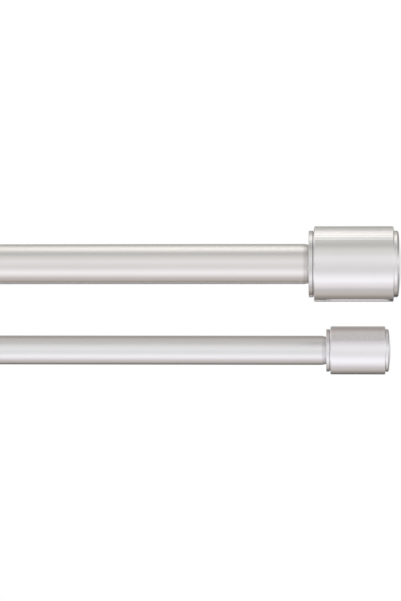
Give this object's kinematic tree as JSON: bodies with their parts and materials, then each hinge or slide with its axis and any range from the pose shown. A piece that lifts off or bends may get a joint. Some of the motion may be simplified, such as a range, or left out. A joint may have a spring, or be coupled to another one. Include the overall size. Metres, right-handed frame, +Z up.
{
  "type": "double curtain pole",
  "caption": "Double curtain pole: a thick front pole above a thinner rear pole, both extending, with cylindrical cap finials, held on wall brackets with open cradles.",
  "frame": {"origin": "middle of the right bracket's two wall screws, on the wall face of its plate", "axes": "+X along the poles to their fixed right end, +Y into the wall, +Z up; the room is towards -Y"},
  "size_m": [1.0324, 0.1569, 0.1332],
  "materials": {
    "pole_nickel": "satin",
    "finial_nickel": "satin",
    "bracket_nickel": "satin",
    "screw_steel": "bright",
    "nylon": "moulded"
  },
  "bodies": {
    "brackets_and_outer_tubes": {"right_wall_plate": "bracket_nickel", "right_arm_screws": "screw_steel", "right_cradle_screws": "screw_steel", "right_front_arm": "bracket_nickel", "right_front_cradle": "bracket_nickel", "right_rear_arm": "bracket_nickel", "right_rear_cradle": "bracket_nickel", "left_wall_plate": "bracket_nickel", "left_arm_screws": "screw_steel", "left_cradle_screws": "screw_steel", "left_front_arm": "bracket_nickel", "left_front_cradle": "bracket_nickel", "left_rear_arm": "bracket_nickel", "left_rear_cradle": "bracket_nickel", "front_outer_tube": "pole_nickel", "front_mouth_bush": "nylon", "rear_outer_tube": "pole_nickel", "rear_mouth_bush": "nylon"},
    "front_slider": {"front_inner_tube": "pole_nickel", "front_glide": "nylon"},
    "rear_slider": {"rear_inner_tube": "pole_nickel", "rear_glide": "nylon"},
    "front_right_finial": {"front_right_collar": "finial_nickel", "front_right_barrel": "finial_nickel", "front_right_end_cap": "finial_nickel", "front_right_plug": "nylon", "front_right_finial_screw": "screw_steel"},
    "front_left_finial": {"front_left_collar": "finial_nickel", "front_left_barrel": "finial_nickel", "front_left_end_cap": "finial_nickel", "front_left_plug": "nylon", "front_left_finial_screw": "screw_steel"},
    "rear_right_finial": {"rear_right_collar": "finial_nickel", "rear_right_barrel": "finial_nickel", "rear_right_end_cap": "finial_nickel", "rear_right_plug": "nylon", "rear_right_finial_screw": "screw_steel"},
    "rear_left_finial": {"rear_left_collar": "finial_nickel", "rear_left_barrel": "finial_nickel", "rear_left_end_cap": "finial_nickel", "rear_left_plug": "nylon", "rear_left_finial_screw": "screw_steel"},
    "right_front_clamp": {"right_front_clamp_screw": "bracket_nickel"},
    "right_rear_clamp": {"right_rear_clamp_screw": "bracket_nickel"},
    "left_front_clamp": {"left_front_clamp_screw": "bracket_nickel"},
    "left_rear_clamp": {"left_rear_clamp_screw": "bracket_nickel"}
  },
  "joints": [
    {"name": "front_pole_extend", "type": "slide", "parent": "brackets_and_outer_tubes", "child": "front_slider", "axis": [-1, 0, 0], "range_m": [0, 0.762]},
    {"name": "rear_pole_extend", "type": "slide", "parent": "brackets_and_outer_tubes", "child": "rear_slider", "axis": [-1, 0, 0], "range_m": [0, 0.762]},
    {"name": "front_right_finial_pull", "type": "slide", "parent": "brackets_and_outer_tubes", "child": "front_right_finial", "axis": [1, 0, 0], "range_m": [0, 0.022]},
    {"name": "front_left_finial_pull", "type": "slide", "parent": "front_slider", "child": "front_left_finial", "axis": [-1, 0, 0], "range_m": [0, 0.022]},
    {"name": "rear_right_finial_pull", "type": "slide", "parent": "brackets_and_outer_tubes", "child": "rear_right_finial", "axis": [1, 0, 0], "range_m": [0, 0.022]},
    {"name": "rear_left_finial_pull", "type": "slide", "parent": "rear_slider", "child": "rear_left_finial", "axis": [-1, 0, 0], "range_m": [0, 0.022]},
    {"name": "right_front_clamp_turn_out", "type": "slide", "parent": "brackets_and_outer_tubes", "child": "right_front_clamp", "axis": [0, -1, 0], "range_m": [0, 0.004]},
    {"name": "right_rear_clamp_turn_out", "type": "slide", "parent": "brackets_and_outer_tubes", "child": "right_rear_clamp", "axis": [0, -1, 0], "range_m": [0, 0.004]},
    {"name": "left_front_clamp_turn_out", "type": "slide", "parent": "brackets_and_outer_tubes", "child": "left_front_clamp", "axis": [0, -1, 0], "range_m": [0, 0.004]},
    {"name": "left_rear_clamp_turn_out", "type": "slide", "parent": "brackets_and_outer_tubes", "child": "left_rear_clamp", "axis": [0, -1, 0], "range_m": [0, 0.004]}
  ]
}
